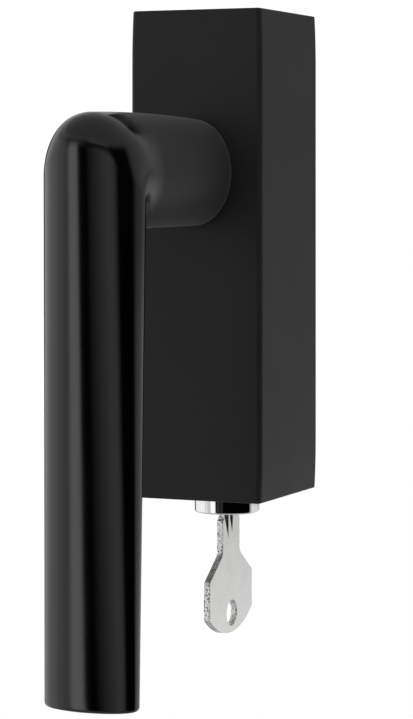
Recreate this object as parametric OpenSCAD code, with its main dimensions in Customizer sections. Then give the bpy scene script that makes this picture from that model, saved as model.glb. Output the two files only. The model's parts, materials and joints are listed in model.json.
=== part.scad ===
// Lockable window handle: a box with a lever on a square spindle, and a push lock with its key.
// Origin: on the spindle axis, in the plane of the window that the handle is screwed to.
// The front faces -Y, +X is to the right seen from the front, +Z is up. Millimetres.

/* [Cover] */
// Width of the box
body_w = 32.5; // [31.5:0.5:36]
// Height of the box
body_h = 112; // [112:1:118]
// Depth of the box, from the window to its front
body_d = 34.5; // [34.5:0.5:38]
// Height of the box's top above the spindle axis
body_top = 37.2; // [37:0.1:39]
// Radius of the two upright edges at the front of the box
edge_r = 1.3; // [0.6:0.1:2]

/* [Lever] */
// Distance from the window to the outside of the elbow
lever_reach = 96.2; // [90:0.2:110]
// Length of the lever below the spindle axis
lever_len = 112; // [95:1:130]
// Thickness of the grip just below the elbow
grip_t_top = 19.6; // [17:0.2:22]
// Thickness of the grip at its tip
grip_t_tip = 11.4; // [9:0.2:14]
// Width of the grip just below the elbow
grip_w_top = 22; // [18:0.2:24]
// Width of the grip at its tip
grip_w_tip = 21.4; // [16:0.2:24]
// Width of the oval neck where it meets the box
neck_w = 18.6; // [16:0.2:22]
// Height of the oval neck where it meets the box
neck_h = 24.2; // [22:0.2:28]

/* [Lock] */
// Distance from the window to the lock's axis
lock_depth = 15.9; // [15.7:0.1:16.6]
// Diameter of the lock cylinder that is pushed in
cyl_d = 15.2; // [15:0.1:15.6]
// Length of the cylinder that stands out of the box
cyl_out = 4.5; // [4:0.1:5]
// Stroke of the lock cylinder
stroke = 4.2; // [3.6:0.1:4.2]

/* [Key] */
// Thickness of the key
key_t = 1.6; // [1.5:0.1:1.8]
// Width of the key's bow
bow_w = 25.2; // [22:0.2:26]
// Diameter of the keyring hole
ring_hole_d = 6; // [5:0.1:7]

/* [Window side] */
// Side of the square spindle
spindle_a = 7; // [7:1:7]
// Length of the spindle behind the box
spindle_out = 32; // [20:1:45]
// Distance between the two fixing screws
screw_pitch = 43; // [43:1:43]
// Length of the fixing screws behind the box
screw_out = 35; // [20:1:45]
// Diameter of the locating cams
cam_d = 10; // [10:0.5:11]
// Height of the locating cams behind the box
cam_out = 6; // [3:0.5:8]

/* [Hidden] */
$fn = 64;
e = 0.01;                              // cuts run past a face by this much
slide_fit = 0.05;                      // radial gap of a running or sliding fit

// Box
wall = 2;
front_wall = 4;
body_z0 = body_top - body_h;
room_w = body_w - 2 * wall;            // the space inside the box
room_z0 = body_z0 + wall;
room_z1 = body_top - wall;
room_y0 = front_wall - body_d;
slack = 0.2;                           // gap between the box and what fits inside it

// Base plate and pad
pad_t = 0.8;
plate_y0 = -5;                         // front face of the base plate
plate_z0 = room_z0 + slack;
plate_z1 = room_z1 - slack;
screw_d = 5;                           // M5
screw_head_d = 10;
cam_seat = 1.2;                        // depth of a cam's foot in the plate
cam_foot_r = cam_d / 2 + 1;
cam_neck_r = cam_d / 2 - 0.2;
cam_neck_y1 = 0.6;                     // outer end of the relief above a cam's foot
cam_chamfer = 0.6;
shank_r = 2.15;                        // radius of a fixing screw between its head and its thread
thread_y0 = cam_out + 0.5;             // where a fixing screw's thread starts
grub_d = 4;                            // M4
grub_l = 4;
grub_y = -2.9;
grub_inset = 0.4;                      // how far a grub screw lies below the box's face

// Lever bearing
gap = 0.5;                             // gap between the neck and the box
neck_y0 = -body_d - gap;
journal_r = 6.5;
journal_y1 = -22.6;                    // inner end of the journal
bush_r = 8;
bush_y1 = -25.5;
bush_flange_r = 9.5;
bush_flange_t = 1;
groove_y = -24.3;                      // retaining ring's groove
groove_t = 1.1;
groove_r = 5.6;
socket_l = 30;                         // depth of the square socket in the lever
cross_pin_d = 2.5;
cross_pin_y = -29.8;

// Chassis, lid and hub
chassis_w = room_w - 2 * slack;
chassis_y1 = -12;
chassis_z0 = -29;
chassis_z1 = 31;
lid_y1 = -9.5;
hub_r = 12;
hub_y0 = -20.9;
hub_y1 = -12.3;
hub_boss_r = 6;
hub_room = 0.3;                        // gap around the turning hub
notch_r = 2.8;
notch_depth = 4.5;
small_screw_d = 3;                     // M3
small_head_d = 5.5;
small_head_t = 2;
small_thread = 2.6;                    // length of the thread in the box's front wall
chassis_screw_x = 11;
chassis_screw_z = [-26, 28];

// Detent
ball_r = 3;
ball_gap = 0.1;
detent_plug_r = 3.6;
detent_plug_z0 = 25;

// Lock
lock_y = -lock_depth;
cyl_r = cyl_d / 2;
cyl_z0 = body_z0 - cyl_out;
cyl_z1 = -54;
cyl_end_t = 2.4;                       // thickness of the cylinder's inner end
housing_y1 = -5.6;
housing_z0 = room_z0 + slack;
housing_z1 = -40;
housing_roof = 3;
lock_screw_x = 10.6;
lock_screw_z = [-68, -46];
plug_r = 5.5;
plug_z0 = cyl_z0 + 0.3;
plug_z1 = cyl_z1 - cyl_end_t - 0.2;
bolt_r = 2.5;
bolt_collar_r = 4.5;
bolt_collar_t = 1;
bolt_foot_r = 2;
bolt_z1 = -hub_r - 0.9;
guide_r = 1.5;
guide_z = -62;
guide_in = 6.4;                        // distance of the guide pin's tip from the lock's axis
latch_z0 = -60.6;
latch_h = 3;
latch_w = 2.8;
latch_x = [5.75, 7.45];
latch_pocket_x = 9.3;
plug_pin_r = 0.7;
plug_pin_z = -76.2;
plug_pin_reach = 4.3;                  // half the length of the pin

// Key
key_shift = 0.7;                       // how much nearer the window the key is than the lock's axis
blade_hw = 4.2;                        // half the width of the blade
blade_tip_z = -58;
shoulder_z = -81.1;
shank_hw = 5;                          // half the width of the shank below the shoulder
bow_z1 = -89.2;                        // where the bow starts
bow_z_side = -94.6;                    // where the bow is at its full width
bow_z_low = -103.2;                    // lower end of the bow's straight sides
bow_z0 = -107.8;                       // bottom of the bow
ring_hole_z = -103.2;
ring_hole_shift = 0.3;                 // distance of the hole from the key's middle line
groove_depth = 0.8;
wheel_r = 16;                          // radius of the cutter that leaves the grooves' ends
grooves = [[-4, -1.75, -85.6], [-0.85, 0.85, -84.4]]; // [from, to, end z], from the middle line
wafer_count = 5;
wafer_pitch = 2.8;
wafer_z = -73.5;                       // the lowest wafer
wafer_t = 0.7;
cut_depths = [0.5, 1.0, 0.3, 0.8, 0.6]; // depths of the key's cuts, from the bow to the tip

// ---------- helpers ----------

// Cylinder along Y from y0 to y1
module rod_y(r, y0, y1) {
  translate([0, y0, 0])
    rotate([-90, 0, 0])
      cylinder(r = r, h = y1 - y0);
}

// Cone along Y, radius r0 at y0 and r1 at y1
module cone_y(r0, r1, y0, y1) {
  translate([0, y0, 0])
    rotate([-90, 0, 0])
      cylinder(r1 = r0, r2 = r1, h = y1 - y0);
}

// Cylinder along Z on the lock's axis
module rod_lock(r, z0, z1) {
  translate([0, lock_y, z0])
    cylinder(r = r, h = z1 - z0);
}

// Box from its two corners
module block(a, b) {
  translate(a)
    cube(b - a);
}

// Rectangle centred on X, from y0 to y1, with true arcs at its two corners on y0
module round_front(w, y0, y1, r) {
  translate([-w / 2, y0 + r])
    square([w, y1 - y0 - r]);
  translate([-w / 2 + r, y0])
    square([w - 2 * r, y1 - y0]);
  for (x = [-w / 2 + r, w / 2 - r])
    translate([x, y0 + r])
      circle(r);
}

// Coil spring along Z: a wire of radius wire on a helix of radius r
module coil(r, wire, z0, z1, turns) {
  steps = turns * 12;
  sides = 6;
  points = [
    for (i = [0:steps], j = [0:sides - 1])
      let (turn = i * 30, rise = z0 + (z1 - z0) * i / steps, a = j * 360 / sides)
        [(r + wire * cos(a)) * cos(turn), (r + wire * cos(a)) * sin(turn), rise + wire * sin(a)]
  ];
  side_faces = [
    for (i = [0:steps - 1], j = [0:sides - 1])
      let (k = (j + 1) % sides)
        [i * sides + j, (i + 1) * sides + j, (i + 1) * sides + k, i * sides + k]
  ];
  start_face = [for (j = [0:sides - 1]) j];
  end_face = [for (j = [sides - 1:-1:0]) steps * sides + j];
  polyhedron(points, concat([start_face], side_faces, [end_face]), convexity = 10);
}

// Hexagon socket with the given width across flats, along Z from z0 up
module hex_socket(flats, z0, depth) {
  translate([0, 0, z0])
    cylinder(r = flats / sqrt(3), h = depth, $fn = 6);
}

// Small pan-head screw along Y: head behind y_seat, shank to the front
module small_screw(y_seat) {
  y_tip = room_y0 - small_thread;
  difference() {
    union() {
      rod_y(small_screw_d / 2, y_tip + 0.1, y_seat + e);
      rod_y(small_head_d / 2, y_seat, y_seat + small_head_t);
    }
    translate([0, y_seat + small_head_t - 1.2, 0])
      rotate([-90, 0, 0])
        hex_socket(2, 0, 2);
  }
}

// Places that the small screws go to
module at_chassis_screws() {
  for (x = [-chassis_screw_x, chassis_screw_x], z = chassis_screw_z)
    translate([x, 0, z])
      children();
}

module at_lock_screws() {
  for (x = [-lock_screw_x, lock_screw_x], z = lock_screw_z)
    translate([x, 0, z])
      children();
}

module at_fixing_screws() {
  for (z = [-screw_pitch / 2, screw_pitch / 2])
    translate([0, 0, z])
      children();
}

// ---------- box and window side ----------

module cover() {
  color("#1c1c1d")
    difference() {
      translate([0, 0, body_z0])
        linear_extrude(body_h)
          round_front(body_w, -body_d, 0, edge_r);
      block([-room_w / 2, room_y0, room_z0], [room_w / 2, e, room_z1]);
      rod_y(bush_r, -body_d - e, room_y0 + e);
      rod_lock(cyl_r + slack, body_z0 - e, room_z0 + e);
      at_chassis_screws()
        rod_y(small_screw_d / 2, room_y0 - small_thread, room_y0 + e);
      at_lock_screws()
        rod_y(small_screw_d / 2, room_y0 - small_thread, room_y0 + e);
      for (z = [body_z0 - e, room_z1 - e])
        translate([0, grub_y, z])
          cylinder(d = grub_d, h = wall + 2 * e);
    }
}

module base_plate() {
  grub_seat = grub_l + grub_inset - wall + slack;
  color("#9a9c9e")
    difference() {
      block([-chassis_w / 2, plate_y0, plate_z0], [chassis_w / 2, -pad_t, plate_z1]);
      rod_y(hub_boss_r + 1.5, plate_y0 - e, e);
      at_fixing_screws() {
        rod_y(screw_d / 2 + 0.25, plate_y0 - e, e);
        cone_y(screw_head_d / 2 + 0.2, screw_d / 2 + 0.2, plate_y0 - e, plate_y0 + 2.5);
        rod_y(cam_foot_r + 0.1, -pad_t - cam_seat, e);
      }
      translate([0, grub_y, plate_z1 - grub_seat])
        cylinder(r = grub_d / 2 + 0.1, h = grub_seat + e, $fn = 48);
      translate([0, grub_y, plate_z0 - e])
        cylinder(r = grub_d / 2 + 0.1, h = grub_seat + e, $fn = 48);
    }
}

module backing_pad() {
  color("#2b2b2b")
    difference() {
      block([-chassis_w / 2, -pad_t, plate_z0], [chassis_w / 2, 0, plate_z1]);
      rod_y(hub_boss_r + 3, -pad_t - e, e);
      at_fixing_screws()
        rod_y(cam_d / 2 + 0.1, -pad_t - e, e);
    }
}

module locating_cams() {
  color("#d8d6cf")
    at_fixing_screws()
      difference() {
        union() {
          rod_y(cam_foot_r, -pad_t - cam_seat, -pad_t);
          rod_y(cam_neck_r, -pad_t - e, cam_neck_y1 + e);
          rod_y(cam_d / 2, cam_neck_y1, cam_out - cam_chamfer);
          cone_y(cam_d / 2, cam_d / 2 - cam_chamfer, cam_out - cam_chamfer - e, cam_out);
        }
        rod_y(screw_d / 2 + 0.15, -pad_t - cam_seat - e, cam_out + e);
      }
}

module fixing_screws() {
  color("#c9c9c6")
    at_fixing_screws()
      difference() {
        union() {
          cone_y(screw_head_d / 2, shank_r, plate_y0, plate_y0 + 2.5);
          rod_y(shank_r, plate_y0 + 2.5 - e, thread_y0 + e);
          rod_y(screw_d / 2, thread_y0, screw_out - 1);
          cone_y(screw_d / 2, screw_d / 2 - 1, screw_out - 1 - e, screw_out);
        }
        for (turn = [0, 90])
          rotate([0, turn, 0])
            block([-2.6, plate_y0 - e, -0.5], [2.6, plate_y0 + 1.8, 0.5]);
      }
}

module cover_screws() {
  color("#3a3a3c") {
    translate([0, grub_y, body_top - grub_inset - grub_l])
      difference() {
        cylinder(d = grub_d, h = grub_l);
        hex_socket(2, grub_l - 1.8, 2);
      }
    translate([0, grub_y, body_z0 + grub_inset])
      difference() {
        cylinder(d = grub_d, h = grub_l);
        hex_socket(2, -0.2, 2);
      }
  }
}

// ---------- bearing, index and detent ----------

module neck_bush() {
  color("#17171a")
    difference() {
      union() {
        rod_y(bush_r, -body_d, bush_y1);
        rod_y(bush_flange_r, room_y0, room_y0 + bush_flange_t);
      }
      rod_y(journal_r + slide_fit, -body_d - e, bush_y1 + e);
    }
}

module chassis() {
  bolt_gap = 0.1;
  color("#a9abad")
    difference() {
      block([-chassis_w / 2, room_y0, chassis_z0], [chassis_w / 2, chassis_y1, chassis_z1]);
      rod_y(bush_r, room_y0 - e, bush_y1 + e);
      rod_y(bush_flange_r + 0.1, room_y0 - e, room_y0 + bush_flange_t + 0.1);
      rod_y(bush_flange_r, bush_y1, hub_y0);
      rod_y(hub_r + hub_room, hub_y0 - hub_room, chassis_y1 + e);
      rod_lock(bolt_r + bolt_gap, chassis_z0 - e, 0);
      rod_lock(ball_r + slide_fit, 0, detent_plug_z0);
      rod_lock(detent_plug_r, detent_plug_z0, chassis_z1 + e);
      at_chassis_screws()
        rod_y(small_screw_d / 2 + 0.1, room_y0 - e, chassis_y1 + e);
    }
}

module chassis_lid() {
  color("#8f9193")
    difference() {
      block([-chassis_w / 2, chassis_y1, chassis_z0], [chassis_w / 2, lid_y1, chassis_z1]);
      rod_y(hub_boss_r + slide_fit, chassis_y1 - e, lid_y1 + e);
      at_chassis_screws()
        rod_y(small_screw_d / 2 + 0.1, chassis_y1 - e, lid_y1 + e);
    }
}

module chassis_screws() {
  color("#b9b9b6")
    at_chassis_screws()
      small_screw(lid_y1);
}

module detent_ball() {
  color("#dcdcdc")
    translate([0, lock_y, hub_r + ball_gap + ball_r])
      sphere(ball_r);
}

module detent_spring() {
  wire = 0.4;
  color("#b0b0b0")
    translate([0, lock_y, 0])
      coil(2.3, wire, hub_r + ball_gap + 2 * ball_r + wire, detent_plug_z0 - wire - 0.05, 6);
}

module detent_plug() {
  plug_h = 5.6;
  color("#3a3a3c")
    translate([0, lock_y, detent_plug_z0])
      difference() {
        cylinder(r = detent_plug_r, h = plug_h);
        hex_socket(4, plug_h - 2.5, 3);
      }
}

module index_hub() {
  color("#b4b6b8")
    difference() {
      union() {
        rod_y(hub_r, hub_y0, hub_y1);
        rod_y(hub_boss_r, hub_y1 - e, lid_y1 - 0.1);
      }
      square_bar(spindle_a + 0.1, hub_y0 - e, lid_y1 + e);
      for (turn = [0:90:270])
        rotate([0, turn, 0])
          translate([0, lock_y, hub_r - notch_depth])
            cylinder(r = notch_r, h = notch_depth + 1);
    }
}

// ---------- lever and spindle ----------

// Square bar of side a along Y, its sides along X and Z
module square_bar(a, y0, y1) {
  block([-a / 2, y0, -a / 2], [a / 2, y1, a / 2]);
}

function unit(v) = v / norm(v);
function mix(a, b, s) = a + (b - a) * s;

// The rounded corner at b of the path a, b, c, as n points of an arc of radius r
function corner(a, b, c, r, n) =
  let (
    to_a = unit(a - b),
    to_c = unit(c - b),
    half = acos(to_a * to_c) / 2,
    centre = b + unit(to_a + to_c) * r / sin(half),
    v0 = b + to_a * r / tan(half) - centre,
    v1 = b + to_c * r / tan(half) - centre,
    sweep = 180 - 2 * half
  )
  [
    for (i = [0:n - 1])
      let (s = i / (n - 1))
        centre + (v0 * sin((1 - s) * sweep) + v1 * sin(s * sweep)) / sin(sweep)
  ];

// The lever's outline in the plane x = 0 as [y, z] points, from the box to the tip
neck_steps = 8;
bend_steps = 14;
grip_steps = 9;
tip_steps = 4;
tip_r = 0.9;                           // radius of the edge round the tip
outer_bend_r = 8;
inner_bend_r = 2;
neck_bulge = 0.5;
elbow_rise = 0.5;                      // how much higher the elbow is than the neck at the box
grip_lean = 2.7;                       // how much nearer the box the outer face is at the tip
outer_start = [neck_y0, neck_h / 2];
outer_elbow = [-lever_reach, neck_h / 2 + elbow_rise];
outer_tip = [-lever_reach + grip_lean, -lever_len];
inner_start = [neck_y0, -neck_h / 2];
inner_elbow = [-lever_reach + grip_t_top, -neck_h / 2 - 0.2];
inner_tip = outer_tip + [grip_t_tip, 0];
outer_bend = corner(outer_start, outer_elbow, outer_tip, outer_bend_r, bend_steps);
inner_bend = corner(inner_start, inner_elbow, inner_tip, inner_bend_r, bend_steps);

// A lever section: [outer point, inner point, half the width]
neck_sections = [
  for (i = [0:neck_steps - 1])
    let (s = i / neck_steps)
      [
        mix(outer_start, outer_bend[0], s) + [0, 4 * neck_bulge * s * (1 - s)],
        mix(inner_start, inner_bend[0], s),
        mix(neck_w, grip_w_top, s) / 2
      ]
];
bend_sections = [for (i = [0:bend_steps - 1]) [outer_bend[i], inner_bend[i], grip_w_top / 2]];
grip_sections = [
  for (i = [1:grip_steps])
    let (s = i / grip_steps * (1 - tip_r / lever_len))
      [
        mix(outer_bend[bend_steps - 1], outer_tip, s),
        mix(inner_bend[bend_steps - 1], inner_tip, s),
        mix(grip_w_top, grip_w_tip, s) / 2
      ]
];

// The last sections draw in to round the edge of the tip
tip_sections = [
  for (i = [1:tip_steps])
    let (
      a = i * 90 / tip_steps,
      inset = [tip_r * (1 - cos(a)), 0],
      z = -lever_len + tip_r * (1 - sin(a))
    )
      [
        [outer_tip[0], z] + inset,
        [inner_tip[0], z] - inset,
        grip_w_tip / 2 - inset[0]
      ]
];

module lever_body() {
  sections = concat(neck_sections, bend_sections, grip_sections, tip_sections);
  sides = 40;
  last = len(sections) - 1;
  points = [
    for (section = sections, j = [0:sides - 1])
      let (
        a = j * 360 / sides,
        centre = (section[0] + section[1]) / 2,
        half = (section[0] - section[1]) / 2,
        p = centre + half * sin(a)
      )
      [section[2] * cos(a), p[0], p[1]]
  ];
  side_faces = [
    for (i = [0:last - 1], j = [0:sides - 1])
      let (k = (j + 1) % sides)
        each [
          [i * sides + j, (i + 1) * sides + j, i * sides + k],
          [i * sides + k, (i + 1) * sides + j, (i + 1) * sides + k]
        ]
  ];
  start_face = [for (j = [0:sides - 1]) j];
  end_face = [for (j = [sides - 1:-1:0]) last * sides + j];
  polyhedron(points, concat([start_face], side_faces, [end_face]), convexity = 6);
}

module lever() {
  color("#161617")
    difference() {
      union() {
        lever_body();
        rod_y(journal_r, neck_y0 - 1, journal_y1);
      }
      square_bar(spindle_a + 0.1, journal_y1 - socket_l, journal_y1 + e);
      difference() {
        rod_y(journal_r + 1, groove_y, groove_y + groove_t);
        rod_y(groove_r, groove_y - e, groove_y + groove_t + e);
      }
      translate([-journal_r - 1, cross_pin_y, 0])
        rotate([0, 90, 0])
          cylinder(d = cross_pin_d, h = 2 * journal_r + 2);
    }
}

module spindle() {
  chamfer = 0.8;
  color("#b7b8b6")
    difference() {
      square_bar(spindle_a, journal_y1 - socket_l + 0.5, spindle_out);
      translate([-spindle_a, cross_pin_y, 0])
        rotate([0, 90, 0])
          cylinder(d = cross_pin_d, h = 2 * spindle_a);
      for (turn = [0:90:270])
        rotate([0, turn, 0])
          translate([-spindle_a, spindle_out, spindle_a / 2 - chamfer])
            rotate([45, 0, 0])
              cube([2 * spindle_a, 2 * spindle_a, 2 * chamfer]);
    }
}

module spindle_pin() {
  color("#8d8d8d")
    translate([-journal_r + 0.3, cross_pin_y, 0])
      rotate([0, 90, 0])
        cylinder(d = cross_pin_d, h = 2 * journal_r - 0.6);
}

module thrust_washer() {
  color("#c2b27a")
    difference() {
      rod_y(9, bush_y1 + 0.1, bush_y1 + 1.1);
      rod_y(journal_r + slide_fit, bush_y1, bush_y1 + 2);
    }
}

module retaining_ring() {
  ring_t = 1;
  lug_r = 1.5;
  lug_at = 7.7;
  lug_angle = 22;
  color("#5c5c5e")
    translate([0, groove_y + 0.05 + ring_t, 0])
      rotate([90, 0, 0])
        linear_extrude(ring_t)
          difference() {
            union() {
              difference() {
                circle(8.2);
                circle(groove_r + slide_fit);
                polygon([[0, 0], [20 * sin(lug_angle), 20], [-20 * sin(lug_angle), 20]]);
              }
              for (side = [-1, 1])
                rotate(side * lug_angle)
                  translate([0, lug_at])
                    circle(lug_r);
            }
            for (side = [-1, 1])
              rotate(side * lug_angle)
                translate([0, lug_at])
                  circle(0.6);
          }
}

// ---------- lock ----------

module lock_housing() {
  roof_z = housing_z1 - housing_roof;
  color("#a3a5a7")
    difference() {
      block([-chassis_w / 2, room_y0, housing_z0], [chassis_w / 2, housing_y1, housing_z1]);
      rod_lock(cyl_r + slide_fit, housing_z0 - e, roof_z);
      rod_lock(bolt_r + 0.1, roof_z - e, housing_z1 + e);
      translate([0, 0, guide_z])
        rod_y(guide_r, lock_y, housing_y1 + e);
      block(
        [latch_x[0], lock_y - latch_w / 2 - 0.2, latch_z0 + stroke - 0.3],
        [latch_pocket_x, lock_y + latch_w / 2 + 0.2, latch_z0 + stroke + latch_h + 0.3]
      );
      at_lock_screws() {
        rod_y(small_screw_d / 2 + 0.1, room_y0 - e, housing_y1 + e);
        rod_y(small_head_d / 2 + 0.1, housing_y1 - small_head_t, housing_y1 + e);
      }
    }
}

module lock_screws() {
  color("#b9b9b6")
    at_lock_screws()
      small_screw(housing_y1 - small_head_t);
}

module guide_pin() {
  color("#8d8d8d")
    translate([0, 0, guide_z])
      rod_y(guide_r, lock_y + guide_in, housing_y1 - 0.1);
}

module return_spring() {
  wire = 0.45;
  color("#b0b0b0")
    translate([0, lock_y, 0])
      coil(3.5, wire, cyl_z1 + bolt_collar_t + wire, housing_z1 - housing_roof - wire, 6);
}

module push_cylinder() {
  chamfer = 0.5;
  slot_r = guide_in - 0.1;
  color("#e6e6e8")
    difference() {
      union() {
        translate([0, lock_y, cyl_z0])
          cylinder(r1 = cyl_r - chamfer, r2 = cyl_r, h = chamfer);
        rod_lock(cyl_r, cyl_z0 + chamfer - e, cyl_z1);
      }
      rod_lock(plug_r + slide_fit, cyl_z0 - e, cyl_z1 - cyl_end_t);
      rod_lock(bolt_foot_r, cyl_z1 - cyl_end_t - e, cyl_z1 + e);
      block(
        [-guide_r - slide_fit, lock_y + slot_r, guide_z - guide_r - stroke - 0.1],
        [guide_r + slide_fit, lock_y + cyl_r + 1, guide_z + guide_r + 0.1]
      );
      block(
        [plug_r - 1, lock_y - latch_w / 2 - 0.1, latch_z0 - 0.1],
        [cyl_r + 1, lock_y + latch_w / 2 + 0.1, latch_z0 + latch_h + 0.1]
      );
      at_plug_pin(cyl_r);
    }
}

module lock_bolt() {
  color("#9b9c9e") {
    rod_lock(bolt_foot_r, cyl_z1 - cyl_end_t, cyl_z1 + e);
    rod_lock(bolt_collar_r, cyl_z1, cyl_z1 + bolt_collar_t);
    rod_lock(bolt_r, cyl_z1 + bolt_collar_t - e, bolt_z1 - 0.6);
    translate([0, lock_y, bolt_z1 - 0.6 - e])
      cylinder(r1 = bolt_r, r2 = bolt_r - 0.6, h = 0.6 + e);
  }
}

module latch_bar() {
  color("#8d8d8d")
    block(
      [latch_x[0], lock_y - latch_w / 2, latch_z0],
      [latch_x[1], lock_y + latch_w / 2, latch_z0 + latch_h]
    );
}

module plug() {
  pin_room = 0.1;
  slot_hw = 2.65;
  keyway_hw = key_t / 2 + 0.1;
  color("#cfcfcc")
    difference() {
      rod_lock(plug_r, plug_z0, plug_z1);
      block(
        [-keyway_hw, lock_y + key_shift - blade_hw - 0.15, plug_z0 - e],
        [keyway_hw, lock_y + key_shift + blade_hw + 0.15, plug_z1 - 0.6]
      );
      for (i = [0:wafer_count - 1])
        block(
          [-slot_hw, lock_y - plug_r - 1, wafer_z + i * wafer_pitch - 0.1],
          [slot_hw, lock_y + plug_r + 1, wafer_z + i * wafer_pitch + wafer_t + 0.1]
        );
      difference() {
        rod_lock(plug_r + 1, plug_pin_z - plug_pin_r - pin_room, plug_pin_z + plug_pin_r + pin_room);
        rod_lock(plug_r - plug_pin_r - pin_room, plug_pin_z - 2, plug_pin_z + 2);
      }
    }
}

module wafers() {
  outline_hw = 2.5;
  window_hw = key_t / 2 + 0.15;
  color("#c9a24a")
    for (i = [0:wafer_count - 1])
      translate([0, lock_y, wafer_z + i * wafer_pitch])
        linear_extrude(wafer_t)
          difference() {
            intersection() {
              circle(plug_r - 0.1);
              square([2 * outline_hw, 2 * plug_r], center = true);
            }
            translate([0, key_shift])
              square([2 * window_hw, 2 * blade_hw + 0.3], center = true);
          }
}

// Pin across the cylinder's wall, along Y, tangent to the plug's groove
module at_plug_pin(reach) {
  translate([plug_r, lock_y - reach, plug_pin_z])
    rotate([-90, 0, 0])
      cylinder(r = plug_pin_r, h = 2 * reach, $fn = 32);
}

module plug_pin() {
  color("#8d8d8d")
    at_plug_pin(plug_pin_reach);
}

// ---------- key ----------

// Outline of the key in its own plane: [distance from its middle line, z]
module key_outline() {
  hw = bow_w / 2;
  tip = 2.2;
  drop = bow_z_low - bow_z0;
  low_r = (hw * hw + drop * drop) / (2 * drop);
  half_outline = [
    [hw, bow_z0], [hw, bow_z_side], [shank_hw, bow_z1], [shank_hw, shoulder_z],
    [blade_hw, shoulder_z], [blade_hw, blade_tip_z - tip], [blade_hw - tip, blade_tip_z]
  ];
  last = len(half_outline) - 1;
  difference() {
    polygon(concat(half_outline, [for (i = [last:-1:0]) [-half_outline[i][0], half_outline[i][1]]]));
    difference() {
      translate([-hw - 1, bow_z0 - 1])
        square([2 * hw + 2, drop + 1]);
      translate([0, bow_z0 + low_r])
        circle(low_r, $fn = 128);
    }
  }
}

// Groove in the key's side towards +X, running out where the round cutter left it
module key_groove(from, to, end_z) {
  face = key_t / 2;
  start_z = end_z + sqrt(wheel_r * wheel_r - (wheel_r - groove_depth) * (wheel_r - groove_depth));
  block([face - groove_depth, from, start_z], [key_t, to, blade_tip_z + 1]);
  translate([face - groove_depth + wheel_r, 0, start_z])
    rod_y(wheel_r, from, to);
}

module key() {
  cut_hw = 1.1;
  color("#cfd0d0")
    translate([0, lock_y + key_shift, 0])
      difference() {
        translate([-key_t / 2, 0, 0])
          rotate([90, 0, 90])
            linear_extrude(key_t)
              difference() {
                key_outline();
                translate([ring_hole_shift, ring_hole_z])
                  circle(d = ring_hole_d);
                for (i = [0:wafer_count - 1])
                  translate([blade_hw, wafer_z + i * wafer_pitch + wafer_t / 2])
                    polygon([[e, -cut_hw], [-cut_depths[i], -0.3], [-cut_depths[i], 0.3], [e, cut_hw]]);
              }
        for (groove = grooves)
          key_groove(groove[0], groove[1], groove[2]);
      }
}

cover();
base_plate();
backing_pad();
locating_cams();
fixing_screws();
cover_screws();
neck_bush();
chassis();
chassis_lid();
chassis_screws();
detent_ball();
detent_spring();
detent_plug();
lock_housing();
lock_screws();
guide_pin();
return_spring();
lever();
spindle();
spindle_pin();
thrust_washer();
retaining_ring();
index_hub();
push_cylinder();
lock_bolt();
latch_bar();
plug();
wafers();
plug_pin();
key();
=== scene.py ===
"""Lockable window handle: the looks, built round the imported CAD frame.

Metres, +Z up, front towards -Y. Shapes are worked out in millimetres.
"""

import json
import math

import bmesh
import bpy
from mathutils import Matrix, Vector


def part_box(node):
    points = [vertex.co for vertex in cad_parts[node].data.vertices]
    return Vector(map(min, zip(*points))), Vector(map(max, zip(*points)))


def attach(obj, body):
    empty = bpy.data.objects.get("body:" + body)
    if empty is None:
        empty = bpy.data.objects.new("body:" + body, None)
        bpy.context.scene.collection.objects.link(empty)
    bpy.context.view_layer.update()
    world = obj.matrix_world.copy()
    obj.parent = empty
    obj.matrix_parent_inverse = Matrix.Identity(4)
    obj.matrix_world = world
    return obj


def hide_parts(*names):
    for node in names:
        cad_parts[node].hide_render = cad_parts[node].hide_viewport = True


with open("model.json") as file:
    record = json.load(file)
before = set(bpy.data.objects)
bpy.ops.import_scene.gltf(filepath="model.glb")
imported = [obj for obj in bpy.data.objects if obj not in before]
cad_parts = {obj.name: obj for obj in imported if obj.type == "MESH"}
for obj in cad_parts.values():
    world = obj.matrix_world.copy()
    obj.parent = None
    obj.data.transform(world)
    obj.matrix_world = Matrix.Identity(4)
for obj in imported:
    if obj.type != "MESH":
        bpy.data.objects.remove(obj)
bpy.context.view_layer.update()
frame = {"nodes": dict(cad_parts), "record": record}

MM = 0.001

# ---------------------------------------------------------------- sizes, in millimetres, from the frame


def box_mm(node):
    """Lowest and highest corner of a CAD node, in millimetres."""
    low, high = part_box(node)
    return low / MM, high / MM


COVER_LOW, COVER_HIGH = box_mm("cover")
LEVER_LOW, LEVER_HIGH = box_mm("lever")
CYL_LOW, CYL_HIGH = box_mm("push_cylinder")
PLUG_LOW, PLUG_HIGH = box_mm("plug")
KEY_LOW, KEY_HIGH = box_mm("key")
SCREWS_LOW, SCREWS_HIGH = box_mm("fixing_screws")
SPINDLE_LOW, SPINDLE_HIGH = box_mm("spindle")
GRUB_LOW, GRUB_HIGH = box_mm("cover_screws")

LOCK_Y = (CYL_LOW.y + CYL_HIGH.y) / 2
KEY_Y = (KEY_LOW.y + KEY_HIGH.y) / 2
CYL_R = (CYL_HIGH.x - CYL_LOW.x) / 2
PLUG_R = (PLUG_HIGH.x - PLUG_LOW.x) / 2
KEY_T = KEY_HIGH.x - KEY_LOW.x

# ---------------------------------------------------------------- mesh helpers


def mesh_from(name, verts, faces):
    """A new object from points in millimetres and faces."""
    mesh = bpy.data.meshes.new(name)
    mesh.from_pydata([Vector(v) * MM for v in verts], [], faces)
    mesh.update()
    piece = bpy.data.objects.new(name, mesh)
    bpy.context.scene.collection.objects.link(piece)
    return piece


def outward_normals(piece):
    """Turns every face of a closed solid to look outwards."""
    bm = bmesh.new()
    bm.from_mesh(piece.data)
    bmesh.ops.recalc_face_normals(bm, faces=bm.faces)
    bm.to_mesh(piece.data)
    bm.free()


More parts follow.
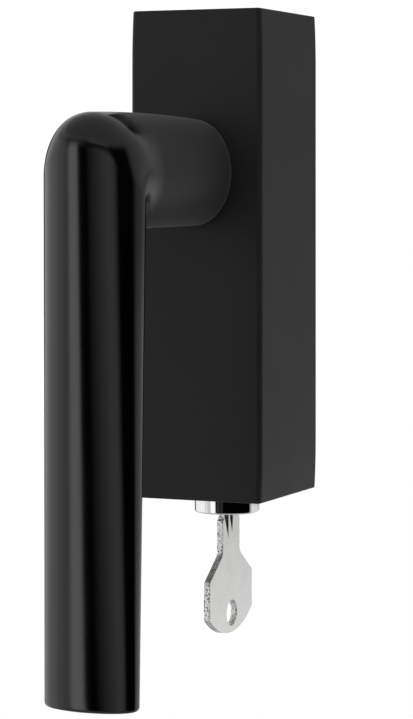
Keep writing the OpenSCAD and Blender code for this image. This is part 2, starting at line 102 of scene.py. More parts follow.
def loft(name, rings):
    """A closed solid through rings of points, which all have the same number of points."""
    sides = len(rings[0])
    verts = [point for ring in rings for point in ring]
    faces = [tuple(range(sides)), tuple(range(len(verts) - 1, len(verts) - sides - 1, -1))]
    for i in range(len(rings) - 1):
        here, there = i * sides, (i + 1) * sides
        for j in range(sides):
            k = (j + 1) % sides
            faces.append((here + j, there + j, there + k, here + k))
    piece = mesh_from(name, verts, faces)
    outward_normals(piece)
    return piece


def prism(name, outline, low, high, axis="Z"):
    """A closed prism: outline holds (a, b) points, and low and high are its ends along the axis."""

    def place(a, b, c):
        return {"X": (c, a, b), "Y": (a, c, b), "Z": (a, b, c)}[axis]

    return loft(name, [[place(a, b, end) for a, b in outline] for end in (low, high)])


def arc(cx, cy, r, start, end, steps):
    """Points of an arc, angles in degrees."""
    angles = [math.radians(start + (end - start) * i / steps) for i in range(steps + 1)]
    return [(cx + r * math.cos(a), cy + r * math.sin(a)) for a in angles]


def round_front(x0, y0, x1, y1, r, steps=10):
    """A rectangle whose two corners on y0 are rounded."""
    front = arc(x0 + r, y0 + r, r, 180, 270, steps) + arc(x1 - r, y0 + r, r, 270, 360, steps)
    return front + [(x1, y1), (x0, y1)]


def circle(cx, cy, r, steps=96):
    """Points of a full circle, each one once."""
    return arc(cx, cy, r, 0, 360, steps)[:-1]


def ring_angles(sides):
    """The angles of evenly spaced points round a ring, in radians."""
    return [2 * math.pi * j / sides for j in range(sides)]


def block(name, low, high):
    """A box between two corners."""
    outline = [(low[0], low[1]), (high[0], low[1]), (high[0], high[1]), (low[0], high[1])]
    return prism(name, outline, low[2], high[2])


def lathe(name, profile, cx, cy, steps=128):
    """A closed solid turned about the upright line at cx, cy.

    profile holds (radius, z) and starts and ends on the line.
    """
    rings = profile[1:-1]
    verts = [(cx, cy, profile[0][1])]
    for r, z in rings:
        verts += [(x, y, z) for x, y in circle(cx, cy, r, steps)]
    verts.append((cx, cy, profile[-1][1]))
    last = len(verts) - 1
    faces = []
    for j in range(steps):
        k = (j + 1) % steps
        faces.append((0, 1 + k, 1 + j))
        for i in range(len(rings) - 1):
            a = 1 + i * steps
            faces.append((a + j, a + k, a + steps + k, a + steps + j))
        a = 1 + (len(rings) - 1) * steps
        faces.append((a + j, a + k, last))
    piece = mesh_from(name, verts, faces)
    outward_normals(piece)
    return piece


def bake_modifiers(piece):
    """Replaces the piece's mesh with what its modifiers make of it."""
    graph = bpy.context.evaluated_depsgraph_get()
    graph.update()
    mesh = bpy.data.meshes.new_from_object(piece.evaluated_get(graph))
    piece.modifiers.clear()
    piece.data = mesh
    mesh.name = piece.name


def carve(piece, cutters):
    """Cuts the cutters out of the piece, one after another, and removes them."""
    for cutter in cutters:
        cut = piece.modifiers.new("cut", "BOOLEAN")
        cut.operation = "DIFFERENCE"
        cut.solver = "EXACT"
        cut.object = cutter
        bake_modifiers(piece)
        bpy.data.objects.remove(cutter)


def soften(piece, width, segments=3, angle=40):
    """Rounds the sharp edges by a width in millimetres and shades the rest smooth."""
    bevel = piece.modifiers.new("edges", "BEVEL")
    bevel.width = width * MM
    bevel.segments = segments
    bevel.limit_method = "ANGLE"
    bevel.angle_limit = math.radians(angle)
    bevel.use_clamp_overlap = True
    bevel.miter_outer = "MITER_ARC"
    bake_modifiers(piece)
    smooth(piece, angle)


def smooth(piece, angle=40):
    """Shades the piece smooth, apart from edges sharper than the angle."""
    piece.data.shade_smooth()
    piece.data.set_sharp_from_angle(angle=math.radians(angle))


def weighted(piece):
    """Keeps big flat faces flat in the shading beside their rounded edges."""
    piece.modifiers.new("normals", "WEIGHTED_NORMAL").keep_sharp = True
    bake_modifiers(piece)


# ---------------------------------------------------------------- materials


class Nodes:
    """Short calls for a node tree."""

    def __init__(self, tree):
        self.tree = tree
        tree.nodes.clear()

    def add(self, kind, **settings):
        """A new node with its settings."""
        node = self.tree.nodes.new(kind)
        for key, value in settings.items():
            setattr(node, key, value)
        return node

    def link(self, source, target):
        self.tree.links.new(source, target)

    def value(self, target, value):
        """Sets a socket to a number or colour, or links another socket to it."""
        if isinstance(value, bpy.types.NodeSocket):
            self.link(value, target)
        else:
            target.default_value = value

    def output(self, kind, result):
        """Ends the tree in an output node of that kind."""
        self.link(result, self.add(kind).inputs["Surface"])

    def split(self, vector):
        """The x, y and z of a vector."""
        node = self.add("ShaderNodeSeparateXYZ")
        self.link(vector, node.inputs[0])
        return node.outputs

    def math(self, operation, a, b=0.0, c=0.0):
        node = self.add("ShaderNodeMath", operation=operation)
        for socket, value in zip(node.inputs, (a, b, c)):
            self.value(socket, value)
        return node.outputs[0]

    def noise(self, vector, scale, detail=3.0, roughness=0.55):
        node = self.add("ShaderNodeTexNoise")
        self.link(vector, node.inputs["Vector"])
        node.inputs["Scale"].default_value = scale
        node.inputs["Detail"].default_value = detail
        node.inputs["Roughness"].default_value = roughness
        return node.outputs["Fac"]

    def span(self, value, low, high, to_low, to_high):
        """Maps low to high onto to_low to to_high, and holds the ends beyond them."""
        node = self.add("ShaderNodeMapRange", clamp=True)
        self.link(value, node.inputs["Value"])
        ends = {"From Min": low, "From Max": high, "To Min": to_low, "To Max": to_high}
        for name, number in ends.items():
            node.inputs[name].default_value = number
        return node.outputs["Result"]

    def mix(self, factor, a, b):
        node = self.add("ShaderNodeMix", data_type="RGBA")
        self.value(node.inputs["Factor"], factor)
        self.value(node.inputs[6], a)
        self.value(node.inputs[7], b)
        return node.outputs[2]

    def stretch(self, vector, sizes):
        """The vector times the (x, y, z) in sizes."""
        node = self.add("ShaderNodeVectorMath", operation="MULTIPLY")
        self.link(vector, node.inputs[0])
        node.inputs[1].default_value = sizes
        return node.outputs[0]


def new_material(name):
    """A material with an empty node tree, and the short calls for the tree."""
    material = bpy.data.materials.new(name)
    material.use_nodes = True
    return material, Nodes(material.node_tree)


def grey(level, tint=(1.0, 1.0, 1.0)):
    """A grey colour, or a tinted one."""
    return (level * tint[0], level * tint[1], level * tint[2], 1.0)


EDGE_WEAR_WIDTH = 0.5    # millimetres
SHEEN_ROUGHNESS = 0.42
GROOVE_SHADE_FADE = 0.00015      # metres over which the painted shade in a groove begins
# colour of the painted shade in a groove
GROOVE_SHADE_LEVEL = 0.01
PIT_LEVEL = 0.05         # colour of the pits in a sheared face


def finish(name, dark, light, rough, metallic=0.0, specular=0.5, grain=2200.0,
           grain_depth=0.02, brushed=None, blotch=90.0, worn=None, tint=(1.0, 1.0, 1.0),
           matt=None, sheared=None, painted_groove_shade=None):
    """A surface with cloudy colour, uneven gloss, a fine grain and, where asked, marks of making and use
    and painted shade in grooves.

    dark, light: the two ends of its colour; rough: the two ends of its roughness
    grain, blotch: marks per metre; grain_depth: in millimetres
    brushed: the (x, y, z) stretch of brush marks; worn: the brightness of worn edges
    matt: (from, to, rise in roughness, specular, sheen) of a less polished part along y, in metres
    sheared: (marks per metre, depth in millimetres) of torn grain on faces that look along y or z
    painted_groove_shade: distance from the plane x = 0, in metres, below which faces that look along x
    are painted dark as shade in a groove
    """
    material, n = new_material(name)
    place = n.add("ShaderNodeTexCoord").outputs["Object"]
    clouds = n.noise(place, blotch, 4.0)
    fine = n.noise(n.stretch(place, brushed) if brushed else place, grain, 2.0, 0.5)
    colour = n.mix(n.span(clouds, 0.35, 0.65, 0.0, 1.0), grey(dark, tint), grey(light, tint))
    if worn:
        rounded = n.add("ShaderNodeBevel", samples=4)
        rounded.inputs["Radius"].default_value = EDGE_WEAR_WIDTH * MM
        flatness = n.add("ShaderNodeVectorMath", operation="DOT_PRODUCT")
        n.link(rounded.outputs[0], flatness.inputs[0])
        n.link(n.add("ShaderNodeNewGeometry").outputs["Normal"], flatness.inputs[1])
        rub = n.math("MULTIPLY", n.span(flatness.outputs["Value"], 0.8, 0.98, 1.0, 0.0),
                     n.span(fine, 0.4, 0.62, 0.25, 1.0))
        colour = n.mix(rub, colour, grey(worn, tint))
    shine = n.math("ADD", n.span(clouds, 0.3, 0.7, rough[0], rough[1]),
                   n.span(fine, 0.3, 0.7, -0.03, 0.03))
    height = n.math("MULTIPLY", fine, grain_depth)
    shader = n.add("ShaderNodeBsdfPrincipled")
    shader.inputs["Specular IOR Level"].default_value = specular
    if matt:
        start, end, rise, matt_specular, sheen = matt
        along_y = n.split(place)["Y"]
        shine = n.math("ADD", shine, n.span(along_y, start, end, 0.0, rise))
        n.link(n.span(along_y, start, end, specular, matt_specular),
               shader.inputs["Specular IOR Level"])
        n.link(n.span(along_y, start, end, 0.0, sheen), shader.inputs["Sheen Weight"])
        shader.inputs["Sheen Roughness"].default_value = SHEEN_ROUGHNESS
    if sheared or painted_groove_shade:
        facing_x = n.math("ABSOLUTE", n.split(n.add("ShaderNodeTexCoord").outputs["Normal"])["X"])
    if sheared:
        torn = n.noise(place, sheared[0], 2.0, 0.7)
        edge_face = n.span(facing_x, 0.3, 0.8, 1.0, 0.0)
        tear = n.math("MULTIPLY", n.math("MULTIPLY", torn, sheared[1]), edge_face)
        height = n.math("ADD", height, tear)
        pits = n.math("MULTIPLY", n.span(torn, 0.57, 0.61, 0.0, 1.0), edge_face)
        colour = n.mix(pits, colour, grey(PIT_LEVEL, tint))
    # painted shade: faces that look along x and lie near the plane x = 0, as the floors of the key's
    # grooves do, are darkened almost to black
    if painted_groove_shade:
        depth = n.math("ABSOLUTE", n.split(place)["X"])
        inside = n.span(depth, painted_groove_shade - GROOVE_SHADE_FADE, painted_groove_shade, 1.0, 0.0)
        groove_shade = n.math("MULTIPLY", inside, n.span(facing_x, 0.6, 0.9, 0.0, 1.0))
        colour = n.mix(groove_shade, colour, grey(GROOVE_SHADE_LEVEL, tint))
    bump = n.add("ShaderNodeBump")
    bump.inputs["Strength"].default_value = 1.0
    bump.inputs["Distance"].default_value = MM
    n.link(height, bump.inputs["Height"])
    n.link(colour, shader.inputs["Base Color"])
    n.link(shine, shader.inputs["Roughness"])
    n.link(bump.outputs["Normal"], shader.inputs["Normal"])
    shader.inputs["Metallic"].default_value = metallic
    n.output("ShaderNodeOutputMaterial", shader.outputs["BSDF"])
    return material


BOX_COAT = finish("satin_black_coat", 0.0086, 0.0102, (0.46, 0.52), specular=0.24, grain=3500.0,
                  grain_depth=0.003, blotch=60.0, worn=0.012)
LEVER_COAT = finish("silk_black_coat", 0.0002, 0.0004, (0.13, 0.16), specular=0.5, grain=2600.0,
                    grain_depth=0.0006, blotch=45.0, worn=0.004, matt=(-0.084, -0.074, 0.3, 0.05, 0.12))
CHROME = finish("polished_chrome", 0.72, 0.8, (0.05, 0.09), metallic=1.0, grain=1500.0,
                grain_depth=0.0004, blotch=200.0)
PLUG_METAL = finish("turned_nickel", 0.5, 0.62, (0.18, 0.3), metallic=1.0, grain=3000.0,
                    grain_depth=0.003, tint=(1.0, 0.98, 0.94))
# The key's groove floors get painted shade.
KEY_METAL = finish("stamped_nickel", 0.84, 0.93, (0.24, 0.34), metallic=1.0, grain=1800.0,
                   grain_depth=0.002, brushed=(1.0, 0.25, 1.0), blotch=160.0, tint=(1.0, 0.995, 0.985),
                   sheared=(2200.0, 0.15), painted_groove_shade=0.00078)
ZINC = finish("cast_zinc", 0.3, 0.42, (0.42, 0.6), metallic=1.0, grain=900.0, grain_depth=0.02,
              tint=(0.98, 1.0, 1.02))
PAD = finish("foam_rubber", 0.012, 0.02, (0.75, 0.9), specular=0.3, grain=1600.0, grain_depth=0.05)
NYLON = finish("natural_nylon", 0.5, 0.58, (0.4, 0.5), specular=0.4, grain=1200.0,
               grain_depth=0.01, tint=(1.0, 0.97, 0.88))
SCREW = finish("plated_screw_steel", 0.45, 0.6, (0.25, 0.4), metallic=1.0, grain=2500.0,
               grain_depth=0.004, tint=(1.0, 0.99, 0.93))
BLACK_STEEL = finish("black_oxide_steel", 0.02, 0.04, (0.35, 0.5), metallic=0.6, grain=2000.0,
                     grain_depth=0.006, worn=0.08)
BLACK_ACETAL = finish("black_acetal", 0.008, 0.012, (0.4, 0.5), specular=0.4, grain=1500.0,
                      grain_depth=0.006)
BRIGHT_STEEL = finish("ground_steel", 0.45, 0.58, (0.2, 0.35), metallic=1.0, grain=2500.0,
                      grain_depth=0.003, brushed=(1.0, 0.15, 1.0))
SPINDLE_STEEL = finish("drawn_steel", 0.4, 0.52, (0.3, 0.42), metallic=1.0, grain=1800.0,
                       grain_depth=0.006, brushed=(1.0, 0.05, 1.0), tint=(1.0, 1.0, 0.97))
BRASS = finish("stamped_brass", 0.5, 0.62, (0.25, 0.4), metallic=1.0, grain=2200.0, grain_depth=0.004,
               tint=(1.0, 0.76, 0.36))

SLOT_FINISH = {
    "black_paint": BOX_COAT, "black_anodised": LEVER_COAT, "zinc": ZINC, "pad": PAD, "cam_nylon": NYLON,
    "screw_steel": SCREW, "black_steel": BLACK_STEEL, "bush_plastic": BLACK_ACETAL,
    "bright_steel": BRIGHT_STEEL, "spindle_steel": SPINDLE_STEEL, "brass": BRASS, "chrome": CHROME,
    "nickel": PLUG_METAL, "key_nickel": KEY_METAL,
}


def dress(piece, slot):
    """Gives the piece the one material of its slot."""
    piece.data.materials.clear()
    piece.data.materials.append(SLOT_FINISH[slot])


def stand_for(piece, body, slot, *nodes):
    """The piece takes the place of CAD nodes, with their body and material slot."""
    dress(piece, slot)
    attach(piece, body)
    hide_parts(*nodes)


for part in frame["record"]["subparts"]:
    dress(frame["nodes"][part["node"]], part["material_slot"])

# ---------------------------------------------------------------- box


def make_cover_shell():
    """The box's outside: an upright bar whose two sides draw in a little near its ends."""
    edge_r = 1.15
    draw_in, draw_length, draw_steps = 0.32, 12.0, 8
    low, high = COVER_LOW, COVER_HIGH
    steps = [i / draw_steps for i in range(draw_steps + 1)]
    levels = [(low.z + draw_length * s, draw_in * (1 - s) ** 2) for s in steps]
    levels += [(high.z - draw_length * (1 - s), draw_in * s ** 2) for s in steps]
    rings = []
    for z, inset in levels:
        outline = round_front(low.x + inset, low.y, high.x - inset, high.y, edge_r)
        rings.append([(x, y, z) for x, y in outline])
    return loft("box_shell", rings)


def make_cover():
    """The box: hollow, open at the back, bored for the neck, the lock cylinder and the grub screws."""
    wall, front_wall, past_back = 2.0, 4.0, 5.0
    bush_r, cylinder_gap = 8.0, 0.2
    low, high = COVER_LOW, COVER_HIGH
    shell = make_cover_shell()
    room = block("room", (low.x + wall, low.y + front_wall, low.z + wall),
                 (high.x - wall, past_back, high.z - wall))
    bore = prism("bore", circle(0, 0, bush_r), low.y - 1, low.y + front_wall + 1, "Y")
    cylinder_hole = prism("hole", circle(0, LOCK_Y, CYL_R + cylinder_gap), low.z - 1, low.z + wall + 1)
    grub_y = (GRUB_LOW.y + GRUB_HIGH.y) / 2
    grub_r = (GRUB_HIGH.x - GRUB_LOW.x) / 2
    grub_low = prism("grub_low", circle(0, grub_y, grub_r, 48), low.z - 1, low.z + wall + 1)
    grub_high = prism("grub_high", circle(0, grub_y, grub_r, 48), high.z - wall - 1, high.z + 1)
    carve(shell, [room, bore, cylinder_hole, grub_low, grub_high])
    soften(shell, 0.35, 3)
    weighted(shell)
    stand_for(shell, "housing", "black_paint", "cover")


# ---------------------------------------------------------------- lever


def unit(v):
    """The vector at length 1."""
    return v / v.length


def corner(a, b, c, r, steps):
    """The rounded corner at b of the path a, b, c: points of an arc of radius r."""
    to_a = unit(a - b)
    to_c = unit(c - b)
    half = math.acos(to_a.dot(to_c)) / 2
    centre = b + unit(to_a + to_c) * (r / math.sin(half))
    v0 = b + to_a * (r / math.tan(half)) - centre
    v1 = b + to_c * (r / math.tan(half)) - centre
    sweep = math.pi - 2 * half
    points = []
    for i in range(steps + 1):
        a0, a1 = (1 - i / steps) * sweep, i / steps * sweep
        points.append(centre + (v0 * math.sin(a0) + v1 * math.sin(a1)) / math.sin(sweep))
    return points


# The lever, in millimetres
NECK_W = 18.6        # width and height of the neck's end at the box
NECK_H = 24.2
NECK_GAP = 0.5       # between the neck's end and the box
NECK_BULGE = 0.5     # rise of the neck's upper line at its middle
BASE_EDGE_R = 0.25   # rounding of the neck's end
LEVER_REACH = -96.2  # y of the elbow's front
ELBOW_RISE = 0.5     # how far the elbow's corners lie outside the neck's height
ELBOW_DROP = 0.2
OUTER_BEND_R = 8.0
INNER_BEND_R = 2.0
GRIP_T_TOP = 19.6    # depth of the grip at the elbow and at the tip
GRIP_T_TIP = 11.4
GRIP_W_TIP = 21.4    # width of the grip at the tip
GRIP_LEAN = 2.7      # how far the grip's front falls back towards its tip
TIP_R = 0.9          # rounding of the tip
JOURNAL_R = 6.5      # the round part that turns in the box


def lever_sections():
    """Sections of the lever from the box to the tip: (outer point, inner point, half width).

    The points hold y and z.
    """
    neck_y = COVER_LOW.y - NECK_GAP
    grip_w = LEVER_HIGH.x - LEVER_LOW.x
    outer_start = Vector((neck_y, NECK_H / 2))
    inner_start = Vector((neck_y, -NECK_H / 2))
    outer_elbow = Vector((LEVER_REACH, NECK_H / 2 + ELBOW_RISE))
    inner_elbow = Vector((LEVER_REACH + GRIP_T_TOP, -NECK_H / 2 - ELBOW_DROP))
    outer_tip = Vector((LEVER_REACH + GRIP_LEAN, LEVER_LOW.z))
    inner_tip = outer_tip + Vector((GRIP_T_TIP, 0))
    base_steps, neck_steps, bend_steps, grip_steps, edge_steps = 3, 20, 30, 40, 6
    outer_bend = corner(outer_start, outer_elbow, outer_tip, OUTER_BEND_R, bend_steps)
    inner_bend = corner(inner_start, inner_elbow, inner_tip, INNER_BEND_R, bend_steps)
    sections = []
    for i in range(1, base_steps + 1):
        a = math.radians(90 * i / base_steps)
        drop = Vector((0, BASE_EDGE_R * (1 - math.sin(a))))
        step = Vector((-BASE_EDGE_R * (1 - math.cos(a)), 0))
        sections.append((outer_start + step - drop, inner_start + step + drop, NECK_W / 2 - drop.y))
    for i in range(1, neck_steps):
        s = i / neck_steps
        outer = outer_start.lerp(outer_bend[0], s) + Vector((0, 4 * NECK_BULGE * s * (1 - s)))
        width = NECK_W + (grip_w - NECK_W) * s
        sections.append((outer, inner_start.lerp(inner_bend[0], s), width / 2))
    sections += [(o, i, grip_w / 2) for o, i in zip(outer_bend, inner_bend)]
    reach = 1 - TIP_R / -LEVER_LOW.z
    for i in range(1, grip_steps + 1):
        s = i / grip_steps * reach
        width = grip_w + (GRIP_W_TIP - grip_w) * s
        outer = outer_bend[-1].lerp(outer_tip, s)
        inner = inner_bend[-1].lerp(inner_tip, s)
        sections.append((outer, inner, width / 2))
    for i in range(1, edge_steps + 1):
        a = math.radians(90 * i / edge_steps)
        inset = TIP_R * (1 - math.cos(a))
        z = LEVER_LOW.z + TIP_R * (1 - math.sin(a))
        outer = Vector((outer_tip.x + inset, z))
        inner = Vector((inner_tip.x - inset, z))
        sections.append((outer, inner, GRIP_W_TIP / 2 - inset))
    return sections


def make_lever():
    """The lever: its journal, and the oval sections from the box to the tip."""
    sides, chamfer = 112, 0.5
    journal_end, base_y = LEVER_HIGH.y, COVER_LOW.y - NECK_GAP
    journal = [(JOURNAL_R - chamfer, journal_end), (JOURNAL_R, journal_end - chamfer),
               (JOURNAL_R, base_y)]
    rings = [[(r * math.cos(a), y, r * math.sin(a)) for a in ring_angles(sides)] for r, y in journal]
    for outer, inner, half_w in lever_sections():
        centre = (outer + inner) / 2
        half = (outer - inner) / 2
        rings.append([
            (half_w * math.cos(a), centre.x + half.x * math.sin(a), centre.y + half.y * math.sin(a))
            for a in ring_angles(sides)
        ])
    lever = loft("lever_body", rings)
    smooth(lever, 35)
    stand_for(lever, "handle", "black_anodised", "lever")
    return lever


# ---------------------------------------------------------------- lock


def make_push_cylinder():
    """The chrome lock cylinder, bored from below for the plug."""
    edge, upper_edge, plug_gap, bore_rest = 0.45, 0.3, 0.05, 0.2
    low, high = CYL_LOW.z, CYL_HIGH.z
    round_edge = []
    for degrees in range(0, 91, 15):
        a = math.radians(degrees)
        round_edge.append((CYL_R - edge + edge * math.sin(a), low + edge - edge * math.cos(a)))
    profile = [(0, low), *round_edge, (CYL_R, high - upper_edge), (CYL_R - upper_edge, high),
               (0, high)]
    body = lathe("lock_cylinder_body", profile, 0, LOCK_Y)
    core = prism("core", circle(0, LOCK_Y, PLUG_R + plug_gap), low - 1, PLUG_HIGH.z + bore_rest)
    carve(body, [core])
    soften(body, 0.08, 2, 50)
    stand_for(body, "lock_cylinder", "chrome", "push_cylinder")


def make_plug():
    """The turning core of the lock, with the slot for the key."""
    edge, end_wall = 0.25, 0.6
    side_gap, edge_gap = 0.1, 0.15
    slot_t, slot_w = KEY_T / 2 + side_gap, BLADE_HW + edge_gap
    low, high = PLUG_LOW.z, PLUG_HIGH.z
    profile = [(0, low), (PLUG_R - edge, low), (PLUG_R, low + edge), (PLUG_R, high), (0, high)]
    body = lathe("lock_plug_body", profile, 0, LOCK_Y)
    keyway = block("keyway", (-slot_t, KEY_Y - slot_w, low - 1),
                   (slot_t, KEY_Y + slot_w, high - end_wall))
    carve(body, [keyway])
    soften(body, 0.1, 2, 50)
    stand_for(body, "lock_plug", "nickel", "plug")


# The key, in millimetres: half widths, and heights in the frame
BLADE_HW = 4.2
SHANK_HW = 5.0
BLADE_TIP = 2.2           # slope at the blade's end
SHOULDER_Z = -81.1        # where the blade meets the shank
SHOULDER_SLOPE = 0.4
BOW_TOP_Z = -89.2         # where the bow starts to widen, and where its straight sides start and end
BOW_SIDE_Z = -94.6
BOW_LOW_Z = -103.2
BOW_NECK_R = 2.0          # roundings of the bow's corners
BOW_CORNER_R = 1.2
RING_HOLE_R = 3.0
RING_HOLE_SHIFT = 0.3     # how far the keyring hole lies off the middle line
CODE_CUTS = (0.5, 1.0, 0.3, 0.8, 0.6)
FIRST_CUT_Z = -73.15
CUT_PITCH = 2.8
GROOVE_DEPTH = 0.8


def key_outline():
    """The key's outline from its tip round the bow and back, as (distance from its middle line, z)."""
    bow_hw = (KEY_HIGH.y - KEY_LOW.y) / 2
    drop = BOW_LOW_Z - KEY_LOW.z
    low_r = (bow_hw ** 2 + drop ** 2) / (2 * drop)
    swing = math.degrees(math.asin(bow_hw / low_r))
    half = [(BLADE_HW - BLADE_TIP, KEY_HIGH.z), (BLADE_HW, KEY_HIGH.z - BLADE_TIP),
            (BLADE_HW, SHOULDER_Z + SHOULDER_SLOPE), (SHANK_HW, SHOULDER_Z)]
    shoulder = Vector((SHANK_HW, SHOULDER_Z))
    bow_top = Vector((SHANK_HW, BOW_TOP_Z))
    side_top = Vector((bow_hw, BOW_SIDE_Z))
    side_low = Vector((bow_hw, BOW_LOW_Z))
    half += [tuple(p) for p in corner(shoulder, bow_top, side_top, BOW_NECK_R, 6)]
    half += [tuple(p) for p in corner(bow_top, side_top, side_low, BOW_CORNER_R, 6)]
    bottom = arc(0, KEY_LOW.z + low_r, low_r, -90 + swing, -90 - swing, 48)
    other = [(-a, z) for a, z in reversed(half)]
    return half + bottom + other


def key_prism(name, outline, low, high):
    """A prism across the key; outline holds (distance from the key's middle line, z)."""
    return prism(name, [(KEY_Y + a, z) for a, z in outline], low, high, "X")


def make_key():
    """The flat key: keyring hole, code cuts, and two grooves that end in points."""
    blank = key_prism("key_blank", key_outline(), KEY_LOW.x, KEY_HIGH.x)
    past_faces, past_edge, half_foot, half_top = 3, 0.2, 0.3, 1.2
    cutters = [key_prism("ring_hole", circle(RING_HOLE_SHIFT, BOW_LOW_Z, RING_HOLE_R, 64),
                         -past_faces, past_faces)]
    for i, cut in enumerate(CODE_CUTS):
        z = FIRST_CUT_Z + CUT_PITCH * i
        outer, inner = BLADE_HW + past_edge, BLADE_HW - cut
        notch = [(outer, z - half_top), (inner, z - half_foot),
                 (inner, z + half_foot), (outer, z + half_top)]
        cutters.append(key_prism("notch", notch, -past_faces, past_faces))
    carve(blank, cutters)
    soften(blank, 0.12, 2, 40)
    top = KEY_HIGH.z + 1
    grooves = [[(-4.0, top), (-4.0, -80.4), (-1.75, -85.6), (-1.7, top)],
               [(-0.85, top), (-0.85, -80.8), (0.45, -84.4), (0.85, -81.5), (0.85, top)]]
    floor_x, above_x = KEY_HIGH.x - GROOVE_DEPTH, KEY_HIGH.x + 1
    carve(blank, [key_prism("groove", groove, floor_x, above_x) for groove in grooves])
    smooth(blank, 30)
    weighted(blank)
    stand_for(blank, "key", "key_nickel", "key")


# ---------------------------------------------------------------- window side


def thread_radius(root, crest, phase):
    """The radius of a thread at a phase from 0 to 1: flat root and crest, sloping flanks."""
    flank_slope, root_flat = 1.6, 0.3
    height = flank_slope * (1 - abs(2 * phase - 1)) - root_flat
    return root + (crest - root) * min(1.0, max(0.0, height))


def make_fixing_screw(name, z):
    """A countersunk screw along y at the height z, with a cross recess and a cut thread."""
    pitch, root, shank, crest, sides = 0.8, 2.05, 2.15, 2.5, 40
    head_r, head_edge, head_end, thread_start = 5.0, 0.15, SCREWS_LOW.y + 2.5, 6.5
    bare_tip, point_length = 1.0, 0.6
    front, tip = SCREWS_LOW.y, SCREWS_HIGH.y
    profile = [(front, head_r - head_edge), (front + head_edge, head_r), (head_end, shank),
               (thread_start, shank)]
    y = thread_start
    while y < tip - bare_tip:
        y += pitch / 8
        profile.append((y, None))  # on the thread
    profile += [(tip - point_length, root - 0.1), (tip, root - 0.7)]
    rings = []
    for y, r in profile:
        ring = []
        for j, a in enumerate(ring_angles(sides)):
            radius = thread_radius(root, crest, (y / pitch - j / sides) % 1.0) if r is None else r
            ring.append((radius * math.cos(a), y, z + radius * math.sin(a)))
        rings.append(ring)
    screw = loft(name, rings)
    reach, half_slot, recess_y = 2.6, 0.5, front + 1.8
    bars = [block("bar", (-reach, -9, z - half_slot), (reach, recess_y, z + half_slot)),
            block("bar", (-half_slot, -9, z - reach), (half_slot, recess_y, z + reach))]
    carve(screw, bars)
    smooth(screw, 50)
    return screw


def make_fixing_screws():
    """The two screws that hold the handle to the window."""
    half_pitch = 21.5
    for name, z in (("fixing_screw_upper", half_pitch), ("fixing_screw_lower", -half_pitch)):
        stand_for(make_fixing_screw(name, z), "housing", "screw_steel", "fixing_screws")


def make_spindle():
    """The square bar, with the hole for its cross pin."""
    half, pin_y, pin_r = SPINDLE_HIGH.x, -29.8, 1.25
    bar = block("spindle_bar", (-half, SPINDLE_LOW.y, -half), (half, SPINDLE_HIGH.y, half))
    cross_hole = prism("cross_hole", circle(pin_y, 0, pin_r, 32), -9, 9, "X")
    carve(bar, [cross_hole])
    soften(bar, 0.45, 3, 60)
    weighted(bar)
    stand_for(bar, "handle", "spindle_steel", "spindle")


make_cover()
LEVER = make_lever()
make_push_cylinder()
make_plug()
make_key()
make_fixing_screws()
make_spindle()

# ---------------------------------------------------------------- floor, light and camera


def make_floor():
    """A plain pale floor below the handle."""
    drop, size = 60.0, 6000.0
    z = LEVER_LOW.z - drop
    corners = [(-size, -size, z), (size, -size, z), (size, size, z), (-size, size, z)]
    floor = mesh_from("floor", corners, [(0, 1, 2, 3)])
    material, n = new_material("pale_floor")
    place = n.add("ShaderNodeTexCoord").outputs["Object"]
    shader = n.add("ShaderNodeBsdfPrincipled")
    n.link(n.mix(n.noise(place, 3.0), grey(0.9), grey(0.92)), shader.inputs["Base Color"])
    shader.inputs["Roughness"].default_value = 0.9
    shader.inputs["Specular IOR Level"].default_value = 0.0
    n.output("ShaderNodeOutputMaterial", shader.outputs["BSDF"])
    floor.data.materials.append(material)
    floor.visible_glossy = False  # mirrored rays see the studio's fields instead


# Soft fields of light round the object: azimuth from and to in degrees, from -Y towards +X, the width
# of their soft upright edges, the height from and to as the direction's z, its softness, and the level
LIGHT_FIELDS = [
    (-126, -58, 14, -0.6, 0.26, 0.14, 1.12),
    (-58, -38, 6, -0.6, 0.26, 0.14, 0.75),
    (-38, -20, 5, -0.6, 0.26, 0.14, 1.3),
    (116, 210, 14, -0.6, -0.03, 0.03, 0.52),
    (116, 210, 14, -0.6, -0.155, 0.02, 0.34),
    (115, 215, 16, 0.0, 0.5, 0.03, 0.42),
    (-150, -60, 14, 0.26, 0.5, 0.14, 1.0),
    (-60, -14, 8, 0.26, 0.5, 0.14, 0.5),
    (-14, 18, 12, 0.26, 0.5, 0.14, 0.3),
    (12, 58, 12, 0.26, 0.5, 0.14, 0.6),
    (-180, 180, 1, 0.5, 1.1, 0.05, 0.5),
    (-180, 180, 1, -1.2, -0.66, 0.1, 0.5),
]
ROOM_LEVEL = 1.12      # for rays that are not mirrored
BACKDROP_LEVEL = 1.05  # seen directly

# Soft upright panels that light the lever alone: azimuth in degrees, where the glow starts, is full,
# begins to fade and ends, in metres from the panel's middle, its level, and how clear the panel is
LEVER_PANELS = [
    (34.0, (-1.15, 0.05, 0.38, 0.8), 0.66, 0.0),
    (-29.0, (-0.305, -0.17, 0.17, 0.305), 0.65, 1.0),
]
PANEL_TOP_FADE = (0.2, 0.65)


def light_field(n, turn, height, field):
    """One soft field of the studio as a node output."""
    start, end, soft, low, high, blend, level = field
    centre, half = (start + end) / 2, (end - start) / 2
    offset = n.math("SUBTRACT", turn, float(centre))
    away = n.math("ABSOLUTE", n.math("WRAP", offset, 180.0, -180.0))
    across = n.span(away, half - soft / 2, half + soft / 2, level, 0.0)
    above = n.span(height, low - blend, low + blend, 0.0, 1.0)
    below = n.span(height, high - blend, high + blend, 1.0, 0.0)
    return n.math("MULTIPLY", across, n.math("MULTIPLY", above, below))


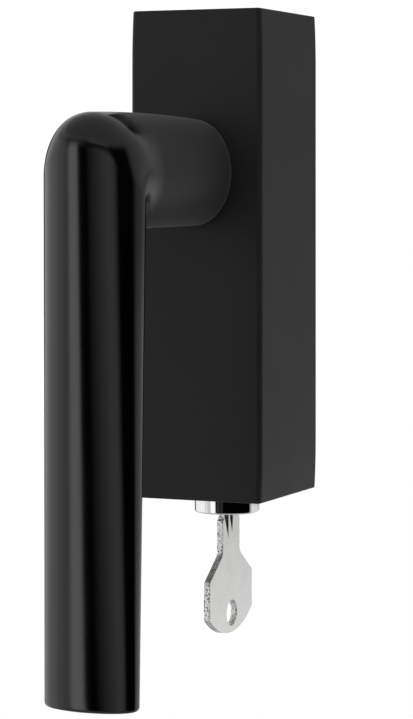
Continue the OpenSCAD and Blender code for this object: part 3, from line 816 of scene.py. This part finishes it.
def make_world():
    """The studio: the soft fields in reflections, and an even room for everything else."""
    world = bpy.data.worlds.new("studio")
    bpy.context.scene.world = world
    world.use_nodes = True
    n = Nodes(world.node_tree)
    x, y, z = n.split(n.add("ShaderNodeTexCoord").outputs["Generated"])
    turn = n.math("MULTIPLY", n.math("ARCTAN2", x, n.math("MULTIPLY", y, -1.0)), 180 / math.pi)
    studio = None
    for field in LIGHT_FIELDS:
        lit = light_field(n, turn, z, field)
        studio = lit if studio is None else n.math("ADD", studio, lit)
    path = n.add("ShaderNodeLightPath")
    seen = n.add("ShaderNodeMix", data_type="FLOAT")
    n.link(path.outputs["Is Glossy Ray"], seen.inputs["Factor"])
    seen.inputs[2].default_value = ROOM_LEVEL
    n.link(studio, seen.inputs[3])
    behind = n.add("ShaderNodeMix", data_type="FLOAT")
    n.link(path.outputs["Is Camera Ray"], behind.inputs["Factor"])
    n.link(seen.outputs[0], behind.inputs[2])
    behind.inputs[3].default_value = BACKDROP_LEVEL
    background = n.add("ShaderNodeBackground")
    background.inputs["Color"].default_value = grey(1.0)
    n.link(behind.outputs[0], background.inputs["Strength"])
    n.output("ShaderNodeOutputWorld", background.outputs[0])


def make_lever_panel(degrees, glow_span, level, clear):
    """One of LEVER_PANELS. Other things than the lever get no light from it."""
    azimuth = math.radians(degrees)
    distance, margin, bottom, top = 1500.0, 20.0, -1200.0, 700.0
    start, full, fading, end = glow_span
    left, right = start / MM - margin, end / MM + margin
    corners = [(left, 0, bottom), (right, 0, bottom), (right, 0, top), (left, 0, top)]
    panel = mesh_from("lever_panel", corners, [(0, 1, 2, 3)])
    panel.location = Vector((math.sin(azimuth), -math.cos(azimuth), 0)) * distance * MM
    panel.rotation_euler = (0, 0, azimuth)
    material, n = new_material("panel_glow")
    x, y, z = n.split(n.add("ShaderNodeTexCoord").outputs["Object"])
    rise = n.span(x, start, full, 0.0, level)
    fall = n.span(x, fading, end, 1.0, 0.0)
    fade = n.span(z, *PANEL_TOP_FADE, 1.0, 0.0)
    glow = n.add("ShaderNodeEmission")
    n.link(n.math("MULTIPLY", rise, n.math("MULTIPLY", fall, fade)), glow.inputs["Strength"])
    passing = n.add("ShaderNodeBsdfTransparent")
    passing.inputs["Color"].default_value = grey(clear)
    both = n.add("ShaderNodeAddShader")
    n.link(glow.outputs[0], both.inputs[0])
    n.link(passing.outputs[0], both.inputs[1])
    n.output("ShaderNodeOutputMaterial", both.outputs[0])
    panel.data.materials.append(material)
    panel.visible_camera = False
    panel.visible_diffuse = False
    panel.visible_shadow = False
    lit = bpy.data.collections.new("lit_by_panel")
    lit.objects.link(LEVER)
    panel.light_linking.receiver_collection = lit


def make_camera():
    """The camera at the photograph's angle: level, to the right of the front."""
    azimuth = math.radians(23.58)
    distance = 587.0
    aim = Vector((0.22, -28.5, -2.3))
    away = Vector((math.sin(azimuth), -math.cos(azimuth), 0)) * distance
    data = bpy.data.cameras.new("camera")
    camera = bpy.data.objects.new("camera", data)
    bpy.context.scene.collection.objects.link(camera)
    camera.location = (aim + away) * MM
    camera.rotation_euler = (math.radians(90), 0, azimuth)
    data.sensor_width = 36.0
    data.lens = 127.8
    data.shift_y = -0.246  # the photograph's framing
    data.clip_start = 0.01
    data.clip_end = 50
    bpy.context.scene.camera = camera


make_floor()
make_world()
for lever_panel in LEVER_PANELS:
    make_lever_panel(*lever_panel)
make_camera()
bpy.context.scene.view_settings.view_transform = "Standard"
